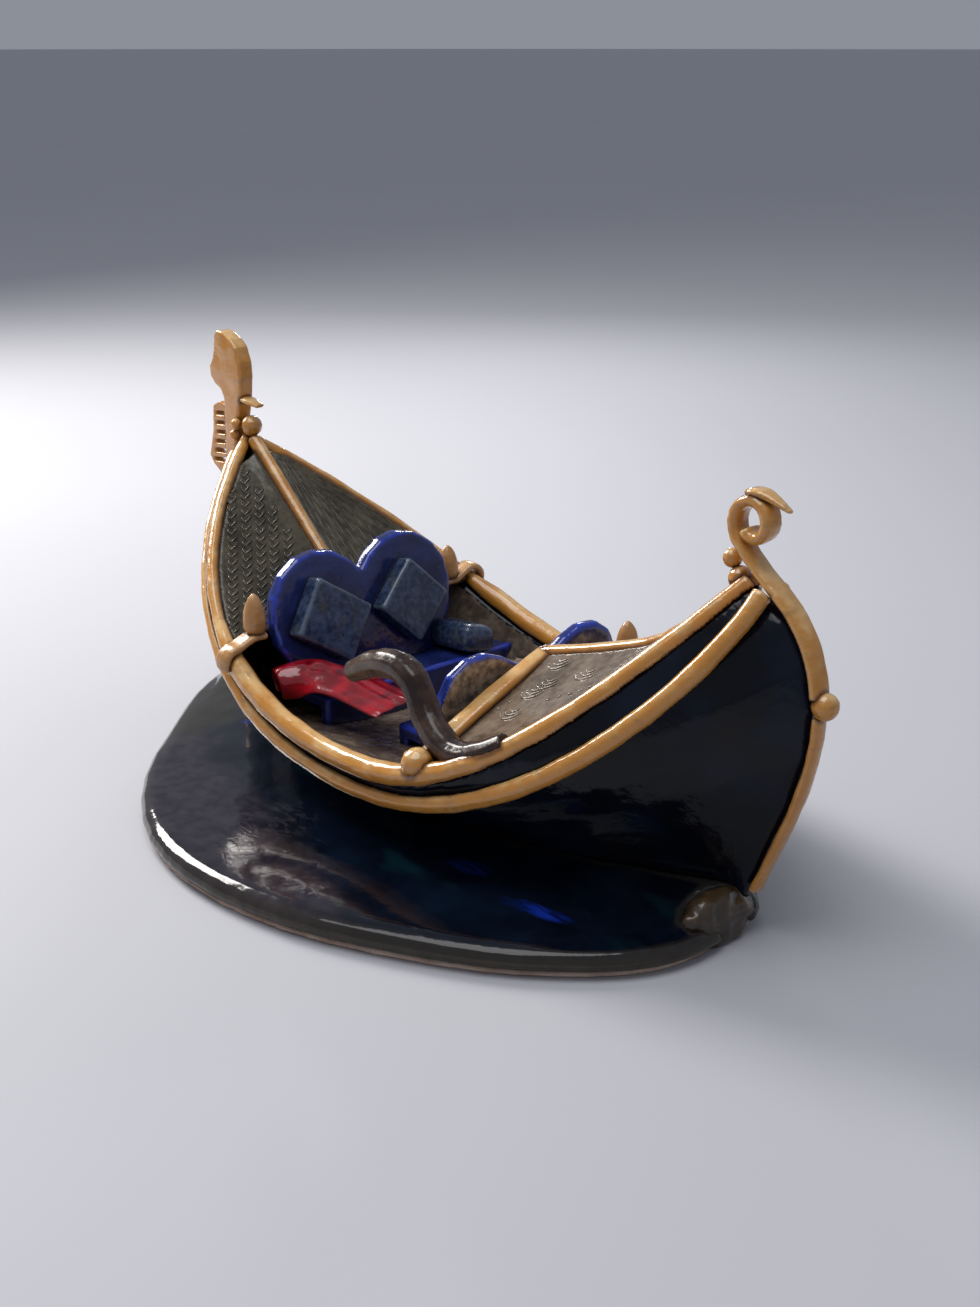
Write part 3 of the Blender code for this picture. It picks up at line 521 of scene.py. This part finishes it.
def start_tree(name, sizes):
    """A new Geometry Nodes tree with named sizes and a glaze; gives its inputs by name."""
    tree = bpy.data.node_groups.new(name, "GeometryNodeTree")
    tree.interface.new_socket("Geometry", in_out="INPUT", socket_type="NodeSocketGeometry")
    for size in sizes:
        tree.interface.new_socket(size, in_out="INPUT", socket_type="NodeSocketFloat")
    tree.interface.new_socket("Glaze", in_out="INPUT", socket_type="NodeSocketMaterial")
    tree.interface.new_socket("Geometry", in_out="OUTPUT", socket_type="NodeSocketGeometry")
    inputs = tree.nodes.new("NodeGroupInput")
    return {size: Reading(tree, inputs.outputs[size]) for size in ("Geometry", *sizes, "Glaze")}


def end_tree(clay, glaze):
    """Makes the tree's clay real, glazes it and hands it out."""
    whole = clay.node("GeometryNodeRealizeInstances", {}, {0: clay})
    glazed = clay.node("GeometryNodeSetMaterial", {}, {"Geometry": whole, "Material": glaze})
    output = clay.tree.nodes.new("NodeGroupOutput")
    clay.tree.links.new(glazed.socket, output.inputs["Geometry"])
    return clay.tree


def line_tree():
    """Geometry Nodes that sway each line across and above its surface and give it a round section."""
    given = start_tree("pressed_lines", ("Sway", "Lift", "Pitch", "Thickness"))
    lines = given["Geometry"]

    def carried(kind, name):
        return lines.node("GeometryNodeInputNamedAttribute", {"data_type": kind}, {"Name": name})

    def sine(angle):
        return lines.node("ShaderNodeMath", {"operation": "SINE"}, {0: angle})

    def moved(way, distance):
        return lines.node("ShaderNodeVectorMath", {"operation": "SCALE"}, {0: way, "Scale": distance})

    curves = lines.node("GeometryNodeMeshToCurve", {}, {0: lines})
    length = lines.node("GeometryNodeSplineParameter", {}, {}, 1)
    share = lines.node("GeometryNodeSplineParameter", {}, {}, 0)
    angle = length * math.tau / given["Pitch"] + carried("FLOAT", "turn")
    aside = moved(carried("FLOAT_VECTOR", "across"), sine(angle) * given["Sway"])
    above = moved(carried("FLOAT_VECTOR", "out"), sine(angle * 2) * given["Lift"])
    shift = lines.node("ShaderNodeVectorMath", {"operation": "ADD"}, {0: aside, 1: above})
    swayed = lines.node("GeometryNodeSetPosition", {}, {"Geometry": curves, "Offset": shift})
    # A line is a quarter as thick at its ends, and has its full thickness a sixteenth of the way in
    nearer_end = lines.worked("MINIMUM", share * 12, (1 - share) * 12)
    taper = lines.worked("MINIMUM", nearer_end + 0.25, 1.0)
    section = lines.node("GeometryNodeCurvePrimitiveCircle", {}, {
        "Resolution": 6, "Radius": given["Thickness"]})
    tubes = lines.node("GeometryNodeCurveToMesh", {}, {
        "Curve": swayed, "Profile Curve": section, "Scale": taper, "Fill Caps": True})
    return end_tree(tubes, given["Glaze"])


def pressed_on(piece, tree, sizes):
    """Runs a tree on a piece with these sizes and keeps what it makes."""
    maker = piece.modifiers.new("pressed", "NODES")
    maker.node_group = tree
    for socket in tree.interface.items_tree:
        if socket.in_out == "INPUT" and socket.name in sizes:
            maker[socket.identifier] = sizes[socket.name]
    set_hard(piece)
    piece.data.shade_smooth()


def pressed_lines(name, lines, sway, lift, pitch, thickness, sunk, glaze):
    """Raised lines on a surface, each a list of (place, outward, turn), made into one piece."""
    corners, edges, across, out, turns = [], [], [], [], []
    for line in lines:
        for number, (place, outward, turn) in enumerate(line):
            after = line[min(number + 1, len(line) - 1)][0]
            before = line[max(number - 1, 0)][0]
            if number:
                edges.append((len(corners) - 1, len(corners)))
            corners.append(place - outward * sunk)
            across.append(outward.cross((after - before).normalized()).normalized())
            out.append(outward)
            turns.append(turn)
    mesh = bpy.data.meshes.new(name)
    mesh.from_pydata(corners, edges, [])
    directed(mesh, "across", across)
    directed(mesh, "out", out)
    noted(mesh, "turn", turns)
    piece = placed(name, mesh)
    pressed_on(piece, lines_pressed, {
        "Sway": sway, "Lift": lift, "Pitch": pitch, "Thickness": thickness, "Glaze": glaze})
    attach(piece, "root")


lines_pressed = line_tree()

# The bow's port slab is stamped with plaits in columns that run up towards the tip, and the
# starboard slab is combed with wavy lines. The stern slabs have nested arcs and rows of dots.

# A line with no more points than this on its slab is left out
fewest_points = 8

# Each column of plaits in mm: where it starts, forward and to port, and how far forward it ends
plait_columns = ((70, 63.0, 130), (70, 55.6, 134), (70, 48.2, 125), (72, 40.0, 116), (82, 25.5, 106))
plait_step = 0.3
plait_slant = 0.70
plaits = []
for start_x, start_y, end_x in plait_columns:
    plan = []
    for step in range(int((end_x - start_x) / plait_step)):
        x = start_x + step * plait_step
        plan.append((x, start_y - plait_slant * (x - start_x)))
    column = laid_on(deck_tops["bow_deck_port"], plan)
    for strand in range(3):
        plaits.append([(place, outward, strand * math.tau / 3) for place, outward in column])
pressed_lines("bow_deck_plaits", plaits, sway=0.0018, lift=0.00040, pitch=0.0130, thickness=0.00052,
              sunk=0.00010, glaze=olive)

# The combed lines share out the slab between the ridge and the rim, which curves in to the tip
comb_teeth = 19
comb_points = 150
comb_start = 72
comb_step = 0.45
ridge = -3.5
rim_width = 73
tip = 147
combed = []
for tooth in range(comb_teeth):
    share = 0.06 + 0.90 * tooth / (comb_teeth - 1)
    plan = []
    for step in range(comb_points):
        x = comb_start + step * comb_step
        rim = -rim_width * (1 - (x / tip) ** 3.3) + 4.5
        if ridge - rim > 3:
            plan.append((x, ridge + (rim - ridge) * share))
    line = laid_on(deck_tops["bow_deck_starboard"], plan)
    if len(line) > fewest_points:
        combed.append([(place, outward, tooth * 1.9) for place, outward in line])
pressed_lines("bow_deck_combing", combed, sway=0.0006, lift=0.0, pitch=0.0190, thickness=0.00042,
              sunk=0.00010, glaze=olive)

# The middles of the nested arcs in mm, forward and to port; the starboard slab mirrors them
arc_nests = ((-66.2, 8.5), (-71.5, 19.5), (-68.5, 24.5), (-69.5, 36.0), (-88.0, 16.0))
arc_radii = (2.6, 4.6, 6.6)
arc_points = 25
half_arc = 62
arcs = []
for side, panel in ((1, "stern_deck_port"), (-1, "stern_deck_starboard")):
    for x, y in arc_nests:
        for radius in arc_radii:
            plan = []
            for step in range(arc_points):
                angle = math.radians(-half_arc + 2 * half_arc * step / (arc_points - 1))
                plan.append((x + radius * math.sin(angle), side * (y + radius * math.cos(angle) - 3)))
            line = laid_on(deck_tops[panel], plan)
            if len(line) > fewest_points:
                arcs.append([(place, outward, 0.0) for place, outward in line])
pressed_lines("stern_deck_arcs", arcs, sway=0.0, lift=0.0, pitch=1.0, thickness=0.00060,
              sunk=0.00012, glaze=olive)


def dot_tree():
    """Geometry Nodes that set one flat round dot on each point, leaning with the surface."""
    given = start_tree("pressed_dots", ("Radius",))
    points = given["Geometry"]
    dot = points.node("GeometryNodeMeshIcoSphere", {}, {"Radius": given["Radius"], "Subdivisions": 2})
    out = points.node("GeometryNodeInputNamedAttribute", {"data_type": "FLOAT_VECTOR"}, {"Name": "out"})
    lean = points.node("FunctionNodeAlignRotationToVector", {"axis": "Z"}, {"Vector": out})
    spread = points.node("GeometryNodeInstanceOnPoints", {}, {
        "Points": points, "Instance": dot, "Rotation": lean, "Scale": (1.0, 1.0, 0.5)})
    return end_tree(spread, given["Glaze"])


# The dots in mm, forward and to port: a row up to the stern's tip and two by the front band
dot_plan = ((-82, 30), (-86.5, 28.8), (-91, 27.8), (-95.1, 27.1), (-99.2, 25.9),
            (-62.0, 30.0), (-60.0, 34.0))
dots = []
for side, panel in ((1, "stern_deck_port"), (-1, "stern_deck_starboard")):
    dots += laid_on(deck_tops[panel], [(x, side * y) for x, y in dot_plan])
dot_mesh = bpy.data.meshes.new("stern_deck_dots")
dot_mesh.from_pydata([place for place, outward in dots], [], [])
directed(dot_mesh, "out", [outward for place, outward in dots])
dot_piece = placed("stern_deck_dots", dot_mesh)
pressed_on(dot_piece, dot_tree(), {"Radius": 0.0009, "Glaze": olive})
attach(dot_piece, "root")

for trim in ("bow_ridge_trim", "stern_ridge_trim", "stern_deck_band_port", "stern_deck_band_starboard"):
    piece = fired(trim, grain=0.0006, rounds=4, swell=0.00035, wobble=0.0003, wave=0.010)
    piece.data.materials.append(amber_glaze)


# Three finials are rolled to blunt points and stand on doubled straps that are folded over the
# rim, two at the bow and one at the stern. They are of plain ochre clay with a thin shine.
ochre_clay = stained_clay("ochre_clay", pale=rgb(0.62, 0.36, 0.15), mid=rgb(0.46, 0.22, 0.07),
                          dark=rgb(0.09, 0.035, 0.012), gloss=0.22, coat=0.3)
for fitting in ("finial_bracket_bow_port", "finial_bow_port", "finial_bracket_bow_starboard",
                "finial_bow_starboard", "finial_bracket_stern_starboard", "finial_stern_starboard"):
    piece = fired(fitting, grain=0.0005, rounds=5, swell=0.0003, wobble=0.0003, wave=0.006)
    piece.data.materials.append(ochre_clay)


# The rowlock is one thick roll of dark clay bent up from the port rim and forward over the
# cockpit, with a blunt end. Its umber glaze is almost black and shines.
def umber_glaze():
    """Almost black brown, paler and greyer towards its forward end."""
    material, shader, place = start_material("umber_glaze")
    cloud = place.cloud(0.008, 4)
    fine = place.cloud(0.002, 3)
    colour = cloud.between(0.35, 0.7).paint(rgb(0.020, 0.009, 0.006), rgb(0.058, 0.028, 0.017))
    forward = place.axis(0) - boat.x + (cloud - 0.5) * 0.02
    colour = (forward.between(-0.030, -0.008) * 0.6).paint(colour, rgb(0.105, 0.068, 0.046))
    shader.inputs["Specular IOR Level"].default_value = 0.4
    end_material(shader, colour, 0.18 + fine * 0.14, cloud + fine * 0.2, depth=0.0004, coat=0.1)
    return material


forcola = fired("forcola", grain=0.0005, rounds=6, swell=0.0003, wobble=0.0004, wave=0.008)
forcola.data.materials.append(umber_glaze())


# The seat for two has a heart-shaped back and a pan in front of it; a second back with two lobes
# closes the stern deck. Cobalt glaze runs off their edges, where it turns a bright blue.
def cobalt_glaze():
    """Deep cobalt, bright along the edges, with beige clay where it ran thin on the lobed back."""
    material, shader, place = start_material("cobalt_glaze")
    crest = place.note("crest")
    cloud = place.cloud(0.016, 4)
    fine = place.cloud(0.003, 3)
    colour = cloud.between(0.35, 0.7).paint(rgb(0.008, 0.012, 0.065), rgb(0.017, 0.030, 0.155))
    edge = (crest + (fine - 0.5) * 0.7).between(0.42, 0.95)
    colour = (edge * 0.9).paint(colour, rgb(0.020, 0.050, 0.42))
    # Near black along the joints: pooled glaze and painted shade where pieces meet
    colour = (place.note("joint").between(0.3, 1.0) * 0.6).paint(colour, rgb(0.003, 0.004, 0.016))
    thinned_and_top_lit = (place.note("bared") + (cloud - 0.5) * 0.7 - crest * 0.5).between(0.35, 0.75)
    beige = fine.between(0.3, 0.7).paint(rgb(0.16, 0.13, 0.11), rgb(0.50, 0.40, 0.30))
    colour = thinned_and_top_lit.paint(colour, beige)
    relief = place.cloud(0.006, 3) + fine * 0.2
    end_material(shader, colour, 0.10 + fine * 0.10, relief, depth=0.0004, coat=0.4)
    return material


cobalt = cobalt_glaze()
for seat in ("heart_seat_back", "heart_seat_bench", "stern_seat_back", "stern_seat_bench"):
    piece = fired(seat, grain=0.0008, rounds=5, swell=0.0003, wobble=0.0003, wave=0.012)
    # The lobed back's clay shows on its stern face, and less so on the starboard half
    bared = np.zeros(len(piece.data.vertices))
    if seat == "stern_seat_back":
        for vertex in piece.data.vertices:
            if vertex.normal.x < -0.6:
                bared[vertex.index] = 1.0 if vertex.co.y > boat.y else 0.45
    noted(piece.data, "bared", bared)
    piece.data.materials.append(cobalt)


# Two square cushions stand on edge against the heart and a small pillow lies beside them. All
# are solid clay slabs with crisp corners under a slate-blue glaze with yellowish clouds.
def slate_glaze():
    """Slate blue with yellow-green clouds and paler edges."""
    material, shader, place = start_material("slate_glaze")
    cloud = place.cloud(0.010, 4)
    fine = place.cloud(0.0025, 4)
    mottled = (cloud * 0.5 + fine * 0.5).between(0.38, 0.64)
    colour = mottled.paint(rgb(0.014, 0.026, 0.062), rgb(0.055, 0.082, 0.150))
    yellow = place.cloud(0.007, 2).between(0.56, 0.74)
    colour = (yellow * 0.55).paint(colour, rgb(0.10, 0.11, 0.055))
    colour = (place.note("crest").between(0.2, 0.8) * 0.6).paint(colour, rgb(0.13, 0.17, 0.22))
    # Near black along the joints: pooled glaze and painted shade where the cushions touch other pieces
    colour = (place.note("joint").between(0.4, 1.0) * 0.6).paint(colour, rgb(0.004, 0.006, 0.012))
    relief = cloud * 0.4 + fine * 0.5
    end_material(shader, colour, 0.18 + fine * 0.15, relief, depth=0.0003, coat=0.3)
    return material


slate = slate_glaze()
for cushion in ("cushion_port", "cushion_starboard", "pillow"):
    piece = fired(cushion, grain=0.0006, rounds=3, swell=0.0002, wobble=0.0003, wave=0.010)
    piece.data.materials.append(slate)


# A cloth lies along the seat's port side: one thin sheet of clay, rolled up at its forward end
# and opening out towards the stern. Its red glaze is thick and shiny, with dark spots.
def red_glaze():
    """Crimson with darker folds and a few dark spots."""
    material, shader, place = start_material("red_glaze")
    crest = place.note("crest")
    cloud = place.cloud(0.010, 4)
    fine = place.cloud(0.002, 3)
    spot = place.cloud(0.006, 1).between(0.66, 0.74)
    colour = cloud.between(0.35, 0.7).paint(rgb(0.20, 0.004, 0.010), rgb(0.46, 0.008, 0.018))
    colour = (crest.between(0.1, 0.8) * 0.5).paint(colour, rgb(0.62, 0.03, 0.04))
    colour = ((-crest).between(0.1, 0.8) * 0.6).paint(colour, rgb(0.09, 0.002, 0.008))
    colour = (spot * 0.7).paint(colour, rgb(0.07, 0.002, 0.012))
    end_material(shader, colour, 0.10 + fine * 0.08, cloud + fine * 0.2, depth=0.0004, coat=0.5)
    return material


# Places along its middle in mm, the angle that it is curled to and its width in mm, from the curl
cloth_rows = (
    (57.0, 52.0, 46.5, 305, 33), (55.5, 47.5, 47.5, 265, 34), (52.0, 42.0, 48.5, 205, 35),
    (46.5, 37.5, 48.8, 140, 34), (39.5, 34.5, 47.5, 95, 31), (30.5, 33.0, 45.8, 62, 28),
    (21.0, 32.3, 44.0, 42, 26), (12.0, 31.8, 42.6, 34, 25.5), (3.5, 30.8, 41.2, 26, 26),
)
cloth_columns = 15
cloth_grid = bmesh.new()
cloth_points = []
for row, (x, y, z, curl, width) in enumerate(cloth_rows):
    after = Vector(cloth_rows[min(row + 1, len(cloth_rows) - 1)][:3])
    before = Vector(cloth_rows[max(row - 1, 0)][:3])
    ahead = (after - before).normalized()
    across = ahead.cross(Vector((0, 0, 1))).normalized()
    up = across.cross(ahead)
    radius = width / math.radians(curl)
    line = []
    for column in range(cloth_columns):
        share = column / (cloth_columns - 1) - 0.5
        angle = math.radians(curl) * share
        # One fold runs slantwise down the cloth, and small ripples cross it
        fold = 1.5 * math.exp(-((column - 3.0 - row * 1.1) / 1.1) ** 2) * math.sin(math.pi * min(row / 7, 1))
        ripple = 0.35 * math.sin(column * 1.7 + row * 0.9)
        place = Vector((x, y, z)) + across * (math.sin(angle) * radius)
        place += up * ((math.cos(angle) - 1) * radius + 6 + fold + ripple)
        line.append(cloth_grid.verts.new(boat + place / 1000))
    cloth_points.append(line)
for row in range(len(cloth_rows) - 1):
    for column in range(cloth_columns - 1):
        cloth_grid.faces.new((cloth_points[row][column], cloth_points[row][column + 1],
                              cloth_points[row + 1][column + 1], cloth_points[row + 1][column]))
cloth_mesh = bpy.data.meshes.new("red_cloth_draped")
cloth_grid.to_mesh(cloth_mesh)
cloth_grid.free()
cloth = placed("red_cloth_draped", cloth_mesh)
thick = cloth.modifiers.new("thick", "SOLIDIFY")
thick.thickness = 0.0017
thick.offset = 0
soft = cloth.modifiers.new("soft", "SUBSURF")
soft.levels = 3
soft.render_levels = 3
set_hard(cloth)
cloth_shell = bmesh.new()
cloth_shell.from_mesh(cloth.data)
bmesh.ops.recalc_face_normals(cloth_shell, faces=cloth_shell.faces)
cloth_shell.to_mesh(cloth.data)
cloth_shell.free()
cloth.data.shade_smooth()
marked(cloth, "red_cloth")
cloth.data.materials.append(red_glaze())
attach(cloth, "root")
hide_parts("red_cloth")


# The figurine stands on a plain pale table top. Soft light falls from a large window beyond the
# bow and from above, a small far window adds its glints, and the room is a pale grey.
floor_radius = 40
floor_corners = 64
ring = []
for step in range(floor_corners):
    angle = math.tau * step / floor_corners
    ring.append((floor_radius * math.cos(angle), floor_radius * math.sin(angle), 0))
floor_mesh = bpy.data.meshes.new("floor")
floor_mesh.from_pydata(ring, [], [list(range(floor_corners))])
floor = placed("floor", floor_mesh)
floor_material, floor_shader, floor_place = start_material("floor")
floor_cloud = floor_place.cloud(0.4, 2)
floor_colour = floor_cloud.paint(rgb(0.50, 0.50, 0.53), rgb(0.53, 0.53, 0.56))
floor_shader.inputs["Specular IOR Level"].default_value = 0.2
end_material(floor_shader, floor_colour, 0.6, floor_cloud, depth=0.0001, coat=0.0)
floor_mesh.materials.append(floor_material)


def window(name, place, aim, width, height, power, tint):
    """A rectangular soft light that looks at a point."""
    light = bpy.data.lights.new(name, "AREA")
    light.shape = "RECTANGLE"
    light.size = width
    light.size_y = height
    light.energy = power
    light.color = tint
    lamp = placed(name, light)
    lamp.location = place
    lamp.rotation_mode = "QUATERNION"
    lamp.rotation_quaternion = (place - aim).to_track_quat("Z", "Y")
    lamp.visible_camera = False


middle = boat + Vector((0, 0, 0.06))
window("window", boat + Vector((1.05, 0.10, 0.75)), middle, 0.45, 0.55, 16, (1.0, 0.97, 0.93))
window("far_window", boat + Vector((0.80, -0.80, 0.50)), middle, 0.14, 0.10, 1.5, (0.95, 0.97, 1.0))
window("ceiling", boat + Vector((0.0, 0.3, 1.3)), middle, 0.9, 0.9, 8, (0.97, 0.98, 1.0))
world = bpy.data.worlds.new("room")
world.use_nodes = True
world.node_tree.nodes["Background"].inputs["Color"].default_value = rgb(0.62, 0.66, 0.76)
world.node_tree.nodes["Background"].inputs["Strength"].default_value = 0.42
bpy.context.scene.world = world
bpy.context.scene.view_settings.view_transform = "Standard"
